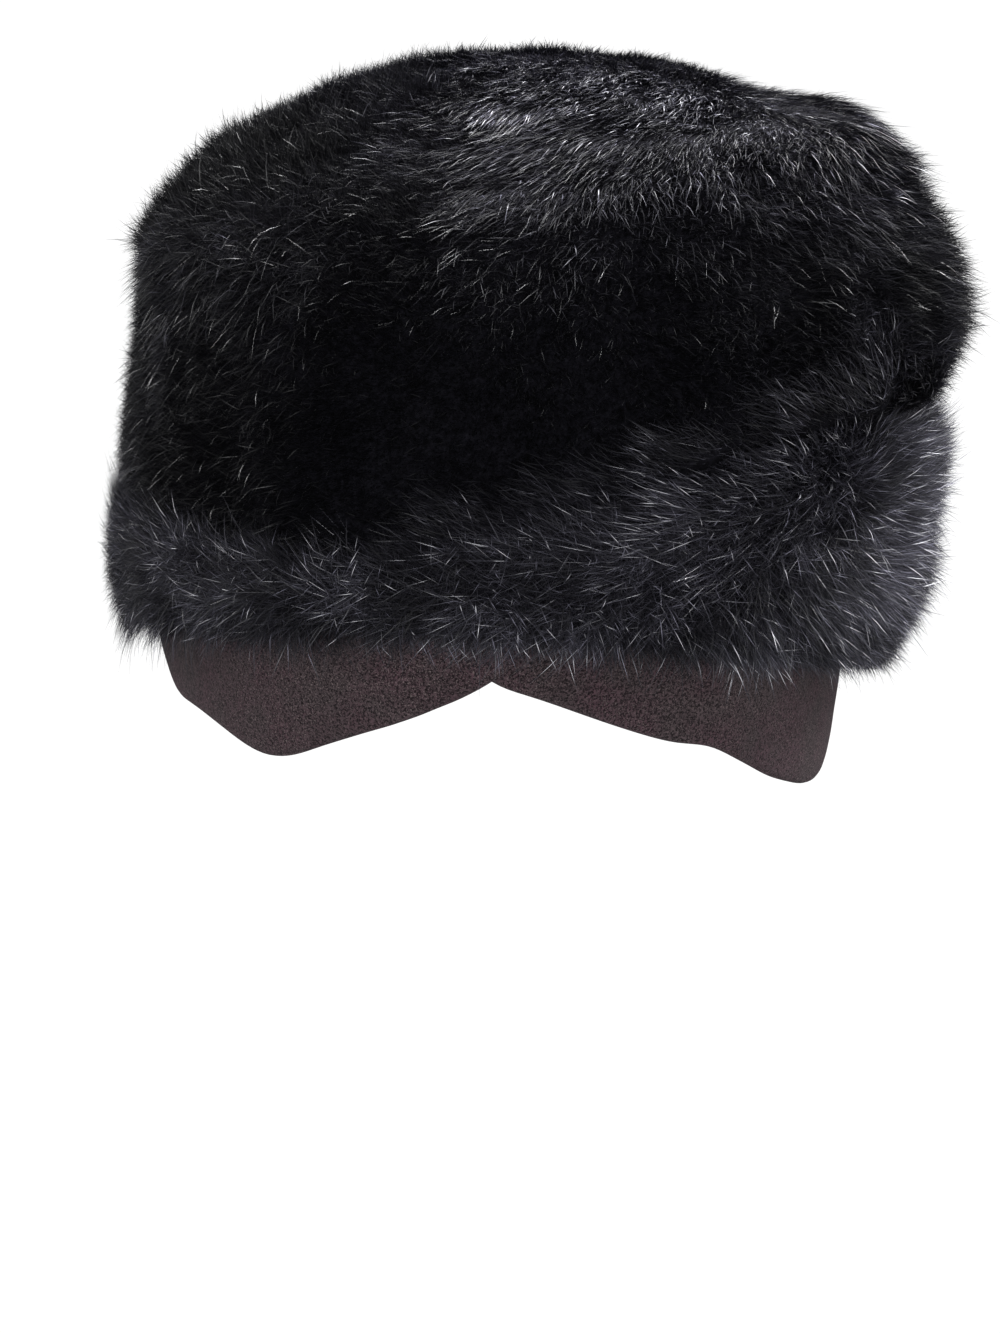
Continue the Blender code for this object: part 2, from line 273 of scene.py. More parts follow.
def wool_material():
    """Dense milled wool: salt-and-pepper fibres with a nap that hides nearly all of the twill."""
    material, graph, shader = new_material("brown_wool_detail", Sheen_Weight=0.12, Sheen_Roughness=0.5)
    shader.inputs["Sheen Tint"].default_value = (0.80, 0.68, 0.72, 1.0)
    shader.inputs["Specular IOR Level"].default_value = 0.2
    place = graph.node("ShaderNodeTexCoord", output="Object")
    cloth = graph.node("ShaderNodeUVMap", {"uv_map": "Cloth"})
    u, v = (cloth.part(axis) for axis in "XY")
    wander = graph.noise(place, 160.0, 3.0) * 0.0022
    twill = ((u * 0.9 + v * 1.2 + wander) * (math.tau / TWILL_PITCH)).call("SINE").ramp(-1, 1)
    worn_thin = graph.noise(place, 28.0, 2.0).ramp(0.50, 0.72)
    grains = graph.noise(place, 1700.0, 2.0, 0.8).ramp(0.43, 0.57)
    tufts = graph.noise(place, 900.0, 3.0, 0.6).ramp(0.32, 0.68)
    pale = graph.noise(place, 3000.0, 1.0).ramp(0.58, 0.68)
    tint = graph.noise(place, 75.0, 2.0).ramp(0.35, 0.65)
    worn_pale = graph.noise(place, 32.0, 2.0).ramp(0.35, 0.65)
    red_brown = graph.mix_colour(grains, (0.012, 0.005, 0.008), (0.122, 0.070, 0.086))
    grey_brown = graph.mix_colour(grains, (0.010, 0.007, 0.008), (0.100, 0.074, 0.080))
    colour = graph.mix_colour(tint, red_brown, grey_brown)
    colour = graph.mix_colour(tufts * 0.45 + twill * worn_thin * 0.25, colour, (0.018, 0.011, 0.014))
    colour = graph.mix_colour(pale * (0.35 + worn_pale * 0.5), colour, (0.24, 0.19, 0.19))
    graph.plug(shader.inputs["Base Color"], colour)
    graph.plug(shader.inputs["Roughness"], grains.ramp(0, 1, 0.85, 1.0))
    bump(graph, shader, grains * 0.7 + tufts * 0.6 + twill * worn_thin * 0.4, WOOL_RELIEF, 0.7)
    return material


ear_band = new_piece("ear_band_cloth", cloth_mesh(nodes["ear_band"]), wool_material(), "ear_band")


# The pile: the panels of fur fabric have a dense dark undercoat and, rising through it, long glossy
# hairs that gather in small clumps. The undercoat is a solid skin part of the way up the pile. The
# crown's panels are sewn pile to pile, so theirs is one skin; the cuff is turned up over it.

UNDERCOAT_SHARE = 0.70  # the undercoat's height as a share of the pile's depth
FELT_VOXEL = 0.0034  # the locks are felted together in cells of this size, and then evened
EVENED_BY, EVENED_TIMES = 0.5, 8
TUFT_SCALES = 42.0, 95.0  # tufts of the undercoat in a metre, wide ones and small ones
SMALL_TUFTS = 0.6  # the small ones' height, as a share of the wide ones'
TUFT_DEPTH = 0.15  # how far tufts and hollows change the undercoat's height, as a share of it
FLATTENED_FROM, FLATTENED_TO = 0.4, 1.6  # the lay at which hair begins to lie down, and lies down fully
PACKED_SHARE = 0.17  # how much higher it packs under flattened hair, as a share of the pile's depth
SHORTEST_HAIR = 0.0042  # how far hair reaches over it where the pile is thin, at the cuff's edges
BARE_DEPTH, COVER_RISE = 0.0015, 0.002  # pile as thin as this is bare, and this much deeper it is full
UNDERCOAT_RELIEF = 0.002
PELT_TREE = BVHTree.FromObject(nodes["crown_pelt"], bpy.context.evaluated_depsgraph_get())


def undercoat_mesh(name, node_names):
    """The panels' solids as one smooth skin drawn in towards the pelt.

    Also returns for each vertex its place on the pile's surface, the way out and the pile's depth.
    """
    rough = bmesh.new()
    for node_name in node_names:
        rough.from_mesh(nodes[node_name].data)
    bmesh.ops.remove_doubles(rough, verts=rough.verts, dist=WELD_DISTANCE)
    cage = bpy.data.meshes.new(name)
    rough.to_mesh(cage)
    rough.free()
    helper = bpy.data.objects.new(name, cage)
    bpy.context.scene.collection.objects.link(helper)
    felted = helper.modifiers.new("Felt", "REMESH")
    felted.mode = "VOXEL"
    felted.voxel_size = FELT_VOXEL
    evened = helper.modifiers.new("Even", "SMOOTH")
    evened.factor = EVENED_BY
    evened.iterations = EVENED_TIMES
    mesh = flatten_modifiers(helper, name)
    wide, small = TUFT_SCALES
    spots = []
    for vert in mesh.vertices:
        root, _, _, depth = PELT_TREE.find_nearest(vert.co)
        spots.append((vert.co.copy(), (vert.co - root).normalized(), depth))
        tufts = noise.noise(vert.co * wide) + noise.noise(vert.co * small) * SMALL_TUFTS
        vert.co = root + (vert.co - root) * UNDERCOAT_SHARE * (1.0 + TUFT_DEPTH * tufts)
    return mesh, spots


# How the fur is brushed. Each stroke says where it is, by how far round from the front, how far out
# and how high; which way the tips point, as an angle from straight down that grows towards the right,
# and on the flat of the top from straight forwards; how flat the hair lies; how tousled it is.
Stroke = namedtuple("Stroke", "degrees radius height turn lay mess")

FLAT_OF_TOP = 0.060  # strokes nearer to the middle than this are on the flat of the top
STROKE_BLEND = 0.00008  # square metres: the larger it is, the more softly strokes run into each other
LEAST_SAY = 0.05  # a stroke that stands upright has this small a say in the way the hair turns

CROWN_STROKES = (
    Stroke(0, 0.000, 0.019, -8, 1.5, 0.35),
    Stroke(2, 0.047, 0.015, -12, 1.5, 0.25),
    Stroke(60, 0.044, 0.015, -8, 1.6, 0.3),
    Stroke(120, 0.045, 0.013, -8, 1.2, 0.5),
    Stroke(180, 0.050, 0.012, -8, 1.2, 0.5),
    Stroke(-120, 0.045, 0.013, -10, 0.6, 0.8),
    Stroke(-60, 0.042, 0.014, -20, 0.35, 0.6),
    Stroke(-15, 0.065, 0.010, -20, 0.7, 0.5),
    Stroke(2, 0.075, 0.008, -28, 1.25, 0.2),
    Stroke(2, 0.086, 0.002, -26, 0.95, 0.25),
    Stroke(2, 0.098, -0.010, -32, 0.55, 0.4),
    Stroke(2, 0.108, -0.020, -25, 0.3, 0.4),
    Stroke(2, 0.117, -0.034, -20, 0.05, 0.3),
    Stroke(2, 0.119, -0.056, 0, 0.0, 0.15),
    Stroke(-5, 0.119, -0.064, -60, 0.05, 0.3),
    Stroke(-5, 0.119, -0.076, -128, 1.0, 0.5),
    Stroke(10, 0.120, -0.057, -60, 0.05, 0.3),
    Stroke(10, 0.120, -0.068, -128, 1.3, 0.4),
    Stroke(20, 0.070, 0.009, -38, 1.3, 0.2),
    Stroke(20, 0.086, 0.005, -32, 0.95, 0.2),
    Stroke(20, 0.095, -0.003, -18, 0.7, 0.2),
    Stroke(20, 0.106, -0.011, -8, 0.45, 0.25),
    Stroke(20, 0.114, -0.023, 0, 0.06, 0.3),
    Stroke(20, 0.122, -0.041, 0, 0.0, 0.15),
    Stroke(23, 0.121, -0.049, -60, 0.1, 0.3),
    Stroke(23, 0.121, -0.060, -125, 1.4, 0.35),
    Stroke(40, 0.070, 0.009, -52, 1.3, 0.2),
    Stroke(40, 0.088, 0.004, -44, 1.0, 0.2),
    Stroke(40, 0.100, -0.005, -30, 0.72, 0.2),
    Stroke(40, 0.110, -0.012, -12, 0.4, 0.25),
    Stroke(40, 0.117, -0.024, 0, 0.06, 0.3),
    Stroke(38, 0.120, -0.042, -60, 0.1, 0.3),
    Stroke(38, 0.120, -0.054, -125, 1.4, 0.35),
    Stroke(50, 0.119, -0.052, -130, 1.35, 0.4),
    Stroke(62, 0.075, 0.006, -70, 1.4, 0.3),
    Stroke(62, 0.092, 0.000, -60, 1.2, 0.3),
    Stroke(62, 0.106, -0.011, -30, 0.65, 0.4),
    Stroke(62, 0.117, -0.026, 10, 0.05, 0.3),
    Stroke(62, 0.119, -0.040, 50, 0.05, 0.3),
    Stroke(62, 0.119, -0.053, -118, 1.25, 0.4),
    Stroke(90, 0.080, 0.006, -60, 1.35, 0.4),
    Stroke(90, 0.115, -0.020, 10, 0.1, 0.4),
    Stroke(85, 0.114, -0.055, 60, 0.2, 0.4),
    Stroke(135, 0.080, 0.005, -20, 0.9, 0.5),
    Stroke(135, 0.120, -0.038, 0, 0.4, 0.5),
    Stroke(180, 0.089, 0.001, 0, 0.7, 0.6),
    Stroke(180, 0.118, -0.050, 0, 0.5, 0.5),
    Stroke(-135, 0.100, -0.030, 10, 0.4, 0.6),
    Stroke(-110, 0.065, 0.007, -20, 0.15, 0.6),
    Stroke(-110, 0.092, -0.040, 20, 0.3, 0.7),
    Stroke(-75, 0.066, 0.007, 20, 0.0, 0.5),
    Stroke(-78, 0.084, -0.010, 10, 0.0, 0.6),
    Stroke(-66, 0.094, -0.034, 10, 0.45, 0.9),
    Stroke(-75, 0.098, -0.070, -15, 0.3, 1.0),
    Stroke(-45, 0.075, 0.003, -30, 0.0, 0.5),
    Stroke(-34, 0.094, -0.010, 20, 0.35, 0.8),
    Stroke(-48, 0.098, -0.022, 20, 0.5, 0.9),
    Stroke(-45, 0.102, -0.045, -20, 0.1, 0.6),
    Stroke(-45, 0.102, -0.065, -20, 0.05, 0.6),
    Stroke(-15, 0.092, -0.006, -30, 0.15, 0.4),
    Stroke(-15, 0.111, -0.032, -10, 0.0, 0.3),
    Stroke(-15, 0.114, -0.065, 10, 0.0, 0.2),
)

CUFF_STROKES = (
    Stroke(-180, 0.120, -0.100, 180, 0.6, 0.7),
    Stroke(-180, 0.119, -0.118, -95, 0.6, 0.9),
    Stroke(-180, 0.116, -0.135, 0, 0.7, 0.7),
    Stroke(-120, 0.105, -0.098, -160, 0.6, 0.7),
    Stroke(-120, 0.103, -0.114, -95, 0.6, 0.9),
    Stroke(-120, 0.100, -0.130, 0, 0.7, 0.7),
    Stroke(-85, 0.099, -0.094, -160, 0.4, 1.0),
    Stroke(-85, 0.100, -0.108, -95, 0.2, 1.1),
    Stroke(-85, 0.094, -0.124, 15, 0.75, 0.9),
    Stroke(-50, 0.108, -0.090, -165, 0.4, 1.1),
    Stroke(-50, 0.106, -0.103, -100, 0.2, 1.1),
    Stroke(-50, 0.100, -0.116, 0, 0.75, 1.0),
    Stroke(-20, 0.112, -0.088, -145, 0.5, 1.0),
    Stroke(-20, 0.116, -0.098, -110, 0.2, 1.1),
    Stroke(-20, 0.107, -0.110, 5, 0.75, 1.0),
    Stroke(5, 0.120, -0.080, -128, 1.0, 0.6),
    Stroke(5, 0.121, -0.092, -115, 0.3, 1.1),
    Stroke(5, 0.110, -0.108, -5, 0.75, 1.0),
    Stroke(22, 0.116, -0.068, -122, 1.15, 0.35),
    Stroke(22, 0.123, -0.082, -112, 0.9, 0.7),
    Stroke(22, 0.117, -0.100, -35, 0.35, 1.0),
    Stroke(22, 0.108, -0.114, 0, 0.75, 0.8),
    Stroke(36, 0.115, -0.062, -125, 1.15, 0.35),
    Stroke(36, 0.119, -0.074, -112, 0.95, 0.6),
    Stroke(36, 0.118, -0.092, -15, 0.4, 0.9),
    Stroke(36, 0.113, -0.112, 5, 0.8, 0.6),
    Stroke(48, 0.114, -0.062, -130, 1.2, 0.4),
    Stroke(48, 0.118, -0.076, -120, 0.3, 0.9),
    Stroke(48, 0.116, -0.094, 35, 0.8, 0.8),
    Stroke(48, 0.111, -0.112, 25, 0.8, 0.6),
    Stroke(62, 0.112, -0.066, 110, 0.6, 0.7),
    Stroke(62, 0.116, -0.080, 95, 0.7, 0.7),
    Stroke(62, 0.114, -0.100, 50, 0.7, 0.7),
    Stroke(90, 0.109, -0.072, 100, 0.5, 0.6),
    Stroke(90, 0.116, -0.090, 80, 0.5, 0.6),
    Stroke(90, 0.112, -0.112, 40, 0.6, 0.6),
    Stroke(135, 0.113, -0.082, 160, 0.6, 0.7),
    Stroke(135, 0.118, -0.100, 95, 0.6, 0.9),
    Stroke(135, 0.118, -0.118, 10, 0.7, 0.7),
)


def laid_out(strokes):
    """For each stroke its place, its direction, how flat the hair lies and how tousled it is."""
    rows = []
    for stroke in strokes:
        round_off, turn = math.radians(stroke.degrees), math.radians(stroke.turn)
        out = Vector((math.sin(round_off), -math.cos(round_off), 0.0))
        down, right = out - Vector((0, 0, 1)), Vector((-out.y, out.x, 0.0))
        if stroke.radius < FLAT_OF_TOP:
            down, right = Vector((0, -1, 0)), Vector((1, 0, 0))
        way = down.normalized() * math.cos(turn) + right * math.sin(turn)
        place = out * stroke.radius + Vector((0, 0, stroke.height))
        rows.append((place, way, stroke.lay, stroke.mess))
    return rows


def comb(rows, spot, normal):
    """Which way the hair lies here and how tousled it is: the strokes near by, blended."""
    total, way, lay, mess = 0.0, Vector((0.0, 0.0, 0.0)), 0.0, 0.0
    for place, row_way, row_lay, row_mess in rows:
        weight = 1.0 / ((spot - place).length_squared + STROKE_BLEND) ** 2
        way += row_way * ((row_lay + LEAST_SAY) * weight)
        lay += row_lay * weight
        mess += row_mess * weight
        total += weight
    way -= normal * way.dot(normal)
    return way.normalized() * (lay / total), mess / total


def store_on_points(mesh, name, values):
    """Stores a number or a vector for each vertex of a mesh."""
    kind, field = ("FLOAT_VECTOR", "vector") if is_vector(values[0]) else ("FLOAT", "value")
    flat = [part for value in values for part in value] if is_vector(values[0]) else values
    mesh.attributes.new(name, kind, "POINT").data.foreach_set(field, flat)


def clamped(share):
    return min(max(share, 0.0), 1.0)


def add_hair_guides(mesh, spots, strokes):
    """Packs the undercoat up under flattened hair, and stores on it what the hairs need to know.

    That is which way hair rises and lies, how tousled it is, how far it reaches and how much grows.
    """
    rows = laid_out(strokes)
    combed = [comb(rows, spot, normal) for spot, normal, _ in spots]
    for vert, (_, normal, depth), (way, _) in zip(mesh.vertices, spots, combed):
        flattened = clamped((way.length - FLATTENED_FROM) / (FLATTENED_TO - FLATTENED_FROM))
        vert.co += normal * (depth * PACKED_SHARE * flattened * flattened * (3 - 2 * flattened))
    depths = [depth for _, _, depth in spots]
    store_on_points(mesh, "rise", [normal for _, normal, _ in spots])
    store_on_points(mesh, "lie", [way for way, _ in combed])
    store_on_points(mesh, "mess", [mess for _, mess in combed])
    reaches = [max(depth * (1 - UNDERCOAT_SHARE), SHORTEST_HAIR) for depth in depths]
    store_on_points(mesh, "reach", reaches)
    store_on_points(mesh, "cover", [clamped((depth - BARE_DEPTH) / COVER_RISE) for depth in depths])


def undercoat_material():
    """Dense matte wool-like fluff, nearly black in its depths."""
    material, graph, shader = new_material("undercoat", Roughness=0.9, Specular_IOR_Level=0.08)
    place = graph.node("ShaderNodeTexCoord", output="Object")
    tufts = graph.noise(place, 420.0, 3.0)
    fluff = graph.noise(place, 1600.0, 3.0, 0.65)
    shade = tufts.ramp(0.3, 0.7) * 0.5 + fluff.ramp(0.45, 0.8) * 0.8
    colour = graph.mix_colour(shade, (0.0015, 0.0014, 0.0024), (0.012, 0.0115, 0.0165))
    graph.plug(shader.inputs["Base Color"], colour)
    bump(graph, shader, tufts, UNDERCOAT_RELIEF, 0.8)
    return material


UNDERCOAT = undercoat_material()


def add_undercoat(name, strokes, *node_names):
    """The undercoat of these panels, as a piece that replaces them and that hair can grow on."""
    mesh, spots = undercoat_mesh(name, node_names)
    add_hair_guides(mesh, spots, strokes)
    piece = new_piece(name, mesh, UNDERCOAT, *node_names)
    return piece


crown_coat = add_undercoat("crown_undercoat", CROWN_STROKES, "crown_side_fur", "crown_top_fur")
cuff_coat = add_undercoat("cuff_undercoat", CUFF_STROKES, "cuff_fur")


# The hairs: each is a flat tapering blade that rises from the undercoat, bends over the way the fur
# is brushed and leans in towards the middle of its clump. Colour darkens towards the root. Hairs
# are short and long by turns, from lock to lock. Painted light is in the hairs' colour: painted shade
# on hairs that stand and in gaps and hollows, a painted sheen on hairs that lie flat, and painted
# glints on the paler ones.

ROOT_DEPTH = 0.001  # how far below the undercoat's surface a hair starts
FLATTENED_RISE = 0.35  # how high flattened hair still rises, as a share of its length
OWN_LENGTH, CLUMP_LENGTH = 0.22, 0.24  # how much lengths differ from hair to hair and clump to clump
LOCK_SCALE, TUFT_SCALE, GAP_SHADE_SCALE, HOLLOW_SHADE_SCALE = 62.0, 120.0, 150.0, 48.0  # features in a metre; the gaps' and hollows' are patches of painted shade
THIN_LOCK, THICK_LOCK = 0.78, 1.28  # how long hair is in thin locks and in thick ones, as a share
OWN_STRAY, CLUMP_STRAY, TUFT_STRAY = 1.15, 0.4, 1.5  # straying of a hair, its clump and its tuft
STRAY_TAKEN_BACK = 0.75  # the share of it that would only lengthen or shorten the pile
TWIST = 0.8  # how far blades turn about their length
OWN_WIDTH = 0.3  # how much widths differ
MESS_AS_LAY = 0.35  # tousled hair is painted as bright as if it lay this much flatter, a painted sheen
STANDING_LAY = 0.10  # hair that lies less than this counts as standing
STANDING_SHADE_TONE = 0.06  # painted shade: how bright standing hair is painted, as a share of hair that lies
SHEEN_FROM, SHEEN = 1.15, 2.0  # the lay from which pressed hair gets a further painted sheen, and how much brighter it is painted
OWN_TONE, CLUMP_TONE, LEAST_TONE = 0.80, 0.05, 0.16  # what a hair's brightness is made up of
GAP_SHADE_TONE = 0.45  # how bright hair stays in the painted shade of the gaps between locks
HOLLOW_MESS, HOLLOW_DARKNESS = 0.45, 0.10  # how far painted shade in hollows darkens hair, for all its mess and at least
HIGHEST_TONE = 0.98  # just inside the edge of the hairs' map


def blade_mesh(segments):
    """A unit blade with a pointed tip: along is 0 at its root and 1 at its tip, across is -1 to 1."""
    mesh = bpy.data.meshes.new(f"blade_{segments}")
    places = [(side, row / segments) for row in range(segments) for side in (-1.0, 1.0)] + [(0.0, 1.0)]
    faces = [(2 * row, 2 * row + 1, 2 * row + 3, 2 * row + 2) for row in range(segments - 1)]
    faces.append((2 * segments - 2, 2 * segments - 1, 2 * segments))
    mesh.from_pydata([(side, 0.0, along) for side, along in places], [], faces)
    store_on_points(mesh, "across", [side for side, _ in places])
    store_on_points(mesh, "along", [share for _, share in places])
    return mesh


class HairGraph(Graph):
    """A geometry node tree with the few calls that growing hair needs."""

    def stored(self, name, kind="FLOAT"):
        settings, inputs = {"data_type": kind}, {"Name": name}
        return self.node("GeometryNodeInputNamedAttribute", settings, inputs, "Attribute")

    def stored_vector(self, name):
        return self.stored(name, "FLOAT_VECTOR")

    def store(self, geometry, name, value, kind="FLOAT", domain="POINT"):
        settings = {"data_type": kind, "domain": domain}
        inputs = {"Geometry": geometry, "Name": name, "Value": value}
        return self.node("GeometryNodeStoreNamedAttribute", settings, inputs, "Geometry")

    def scatter(self, surface, density, seed):
        """Points strewn over a surface, where its pile is deep enough to cover it."""
        inputs = {"Mesh": surface, "Density": density * self.stored("cover"), "Seed": seed}
        return self.node("GeometryNodeDistributePointsOnFaces", None, inputs, "Points")

    def random_vector(self, seed, ident=None):
        """A vector of numbers from -1 to 1 for each point, or one for all points of an identity."""
        inputs = {0: (-1.0, -1.0, -1.0), 1: (1.0, 1.0, 1.0), "Seed": seed}
        if ident:
            inputs["ID"] = ident
        return self.node("FunctionNodeRandomValue", {"data_type": "FLOAT_VECTOR"}, inputs, "Value")

    def nearest(self, points, place):
        """The index of the nearest of these points, and the way to it."""
        inputs = {"Geometry": points, "Sample Position": place}
        index = self.node("GeometryNodeSampleNearest", {"domain": "POINT"}, inputs, "Index")
        settings = {"data_type": "FLOAT_VECTOR", "domain": "POINT"}
        inputs = {"Geometry": points, "Value": place, "Index": index}
        return index, self.node("GeometryNodeSampleIndex", settings, inputs, "Value") - place


def hair_tone(graph, place, bend, own_x, shared_z):
    """How bright a hair is: by chance, with painted sheen and shade by how it lies and painted shade in
    gaps and hollows.
    """
    mess = graph.stored("mess")
    # Painted sheen and shade: hair that lies flat or is tousled is painted brighter, hair that stands
    # darker, and pressed hair brighter still.
    flat = (bend + mess * MESS_AS_LAY - STANDING_LAY).ramp(0.05, 0.85, STANDING_SHADE_TONE, 1.0)
    flat = flat + bend.ramp(SHEEN_FROM, FLATTENED_TO, 0.0, SHEEN)
    pale = own_x * own_x * own_x * own_x
    # Painted shade in the gaps between locks and in hollows, laid as patches of noise.
    gap_shade = graph.noise(place, GAP_SHADE_SCALE, 1.0).ramp(0.38, 0.58, GAP_SHADE_TONE, 1.0)
    hollow_shade = graph.noise(place, HOLLOW_SHADE_SCALE, 1.0).ramp(0.60, 0.42)
    patches = 1.0 - hollow_shade * (mess.call("MINIMUM", 1.0) * HOLLOW_MESS + HOLLOW_DARKNESS)
    return (pale * OWN_TONE + shared_z * CLUMP_TONE + LEAST_TONE) * flat * gap_shade * patches


def rooted_points(graph, given):
    """Points where hairs grow. Each carries its hair's root, lift, lean, side and tone."""
    place = graph.node("GeometryNodeInputPosition", output="Position")
    points = graph.scatter(given["Undercoat"], given["Density"], given["Seed"])
    clumps = graph.scatter(given["Undercoat"], given["Clump density"], given["Seed"] + 1)
    clump, to_clump = graph.nearest(clumps, place)
    own = graph.random_vector(given["Seed"] + 2)
    shared = graph.random_vector(given["Seed"] + 3, clump)
    own_x, shared_z = own.part("X"), shared.part("Z")

    rise, lie = graph.stored_vector("rise"), graph.stored_vector("lie")
    reach, bend = graph.stored("reach"), lie.call("LENGTH")
    thick = graph.noise(place, LOCK_SCALE, 1.0).ramp(0.30, 0.70, THIN_LOCK, THICK_LOCK)
    tall = reach * given["Height"] * (1.0 + own_x * OWN_LENGTH + shared_z * CLUMP_LENGTH)
    tall = tall * thick * bend.ramp(FLATTENED_FROM, FLATTENED_TO, 1.0, FLATTENED_RISE)
    lift = rise * (tall + ROOT_DEPTH)

    tufts = graph.noise(place, TUFT_SCALE, 1.0, output="Color")
    loose = own * OWN_STRAY + shared * CLUMP_STRAY + (tufts - 0.5) * TUFT_STRAY
    stray = loose - rise * (rise.call("DOT_PRODUCT", loose) * STRAY_TAKEN_BACK)
    stray = stray * (reach * graph.stored("mess") * given["Stray"])
    lean = lie * (reach * given["Lay"] * thick) + stray + to_clump * given["Gather"]

    twist = graph.random_vector(given["Seed"] + 4) * TWIST
    side = (lift + lean).call("CROSS_PRODUCT", rise + twist).call("NORMALIZE")
    side = side * given["Width"] * (1.0 + own_x * OWN_WIDTH)
    # The panel's brightness gain is painted light: it paints the cuff, which catches more light,
    # brighter than the crown.
    tone = hair_tone(graph, place, bend, own_x, shared_z) * given["Painted light gain"]

    points = graph.store(points, "root", place - rise * ROOT_DEPTH, "FLOAT_VECTOR")
    points = graph.store(points, "lift", lift, "FLOAT_VECTOR")
    points = graph.store(points, "lean", lean, "FLOAT_VECTOR")
    points = graph.store(points, "side", side, "FLOAT_VECTOR")
    return graph.store(points, "tone", tone.call("MINIMUM", HIGHEST_TONE))


def bent_blades(graph, points, blade_object):
    """A blade at each point, bent to its hair's lift and lean, with its map."""
    blade = graph.node("GeometryNodeObjectInfo", None, {"Object": blade_object}, "Geometry")
    inputs = {"Points": points, "Instance": blade}
    hairs = graph.node("GeometryNodeInstanceOnPoints", None, inputs, "Instances")
    hairs = graph.node("GeometryNodeRealizeInstances", None, {"Geometry": hairs}, "Geometry")
    along, across = graph.stored("along"), graph.stored("across")
    # A hair rises soonest near its root and leans most near its tip, where it is thinnest.
    risen = along * (1.30 - along * 0.30)
    leant = along * (0.60 + along * 0.40)
    width = across * (1.0 - along * along * 0.7)
    bent = graph.stored_vector("root") + graph.stored_vector("lift") * risen
    bent = bent + graph.stored_vector("lean") * leant + graph.stored_vector("side") * width
    inputs = {"Geometry": hairs, "Position": bent}
    hairs = graph.node("GeometryNodeSetPosition", None, inputs, "Geometry")
    on_map = {"X": graph.stored("tone"), "Y": along * 0.98 + 0.01}
    texture = graph.node("ShaderNodeCombineXYZ", None, on_map, "Vector")
    return graph.store(hairs, "OFBake", texture, "FLOAT2", "CORNER")


def hair_tree():
    """Geometry nodes that turn an undercoat into the hairs that grow on it."""
    tree = bpy.data.node_groups.new("Hairs", "GeometryNodeTree")
    graph = HairGraph(tree)
    sockets = {"Undercoat": "Geometry", "Blade": "Object", "Hair": "Material", "Seed": "Int"}
    for name in ("Density", "Clump density", "Height", "Lay", "Width", "Stray", "Gather", "Painted light gain"):
        sockets[name] = "Float"
    for name, kind in sockets.items():
        tree.interface.new_socket(name, in_out="INPUT", socket_type="NodeSocket" + kind)
    tree.interface.new_socket("Hairs", in_out="OUTPUT", socket_type="NodeSocketGeometry")
    group_inputs = tree.nodes.new("NodeGroupInput").outputs
    given = {socket.name: Value(graph, socket) for socket in group_inputs if socket.name}
    hairs = bent_blades(graph, rooted_points(graph, given), given["Blade"])
    inputs = {"Geometry": hairs, "Material": given["Hair"]}
    hairs = graph.node("GeometryNodeSetMaterial", None, inputs, "Geometry")
    graph.plug(tree.nodes.new("NodeGroupOutput").inputs["Hairs"], hairs)
    return tree


HAIR_TREE = hair_tree()


def hair_material(name, tip, glint, gloss, roughness):
    """Glossy dark hair, grey towards its tip, where the paler ones have a painted glint part of the way
    up.

    On its map a hair runs from root to tip along Y, and across X by its tone, from hairs that stand,
    which are painted dark as painted shade, to hairs that lie flat, which get a painted sheen.
    """
    material, graph, shader = new_material(name, Specular_IOR_Level=gloss)
    place = graph.node("ShaderNodeUVMap", {"uv_map": "OFBake"})
    tone, along = (place.part(axis) for axis in "XY")
    colour = graph.mix_colour(along.ramp(0.0, 0.8) * tone, (0.002, 0.002, 0.003), tip)
    # Painted glint: a bright band on the paler hairs, part of the way up, standing for a highlight.
    glint_place = (tone * 9).call("FRACT") * 0.40 + 0.40
    painted_glint = (along - glint_place).call("ABSOLUTE").ramp(0.05, 0.18, 1.0, 0.0)
    colour = graph.mix_colour(painted_glint * tone.ramp(0.25, 0.75), colour, glint)
    graph.plug(shader.inputs["Base Color"], colour)
    graph.plug(shader.inputs["Roughness"], tone.ramp(0.2, 0.8, roughness + 0.1, roughness - 0.06))
    return material


# The long and guard hairs' glint colours are painted highlights; the fuzz's glint is only its tip
# colour.
FUZZ = hair_material("fuzz", (0.141, 0.137, 0.178), (0.141, 0.137, 0.178), 0.12, 0.60)
LONG_HAIR = hair_material("long_hair", (0.140, 0.136, 0.178), (0.330, 0.326, 0.415), 0.30, 0.42)
GUARD_HAIR = hair_material("guard_hair", (0.200, 0.197, 0.250), (0.930, 0.930, 1.000), 0.5, 0.25)

# The kinds of hair, from short soft fuzz to long glossy guard hairs. Height, lay and stray are shares
# of how far hair reaches, clumps are counted on a square metre, and width is half that of a hair's root.
Kind = namedtuple("Kind", "segments material clump_density height lay width stray gather")

KINDS = {
    "fuzz": Kind(1, FUZZ, 3.0e5, 0.80, 1.2, 0.00012, 1.1, 0.15),
    "long_hair": Kind(2, LONG_HAIR, 2.0e5, 0.95, 1.7, 0.00009, 1.4, 0.35),
    "guard_hair": Kind(3, GUARD_HAIR, 1.0e5, 1.05, 2.7, 0.00010, 1.7, 0.1),
}
CUFF_FINENESS = 0.8  # the width of the cuff's hairs beside the crown's

# What is stored on the hairs and the undercoats only to grow them.
SPENT = "root lift lean side tone rise lie mess reach cover along across".split()


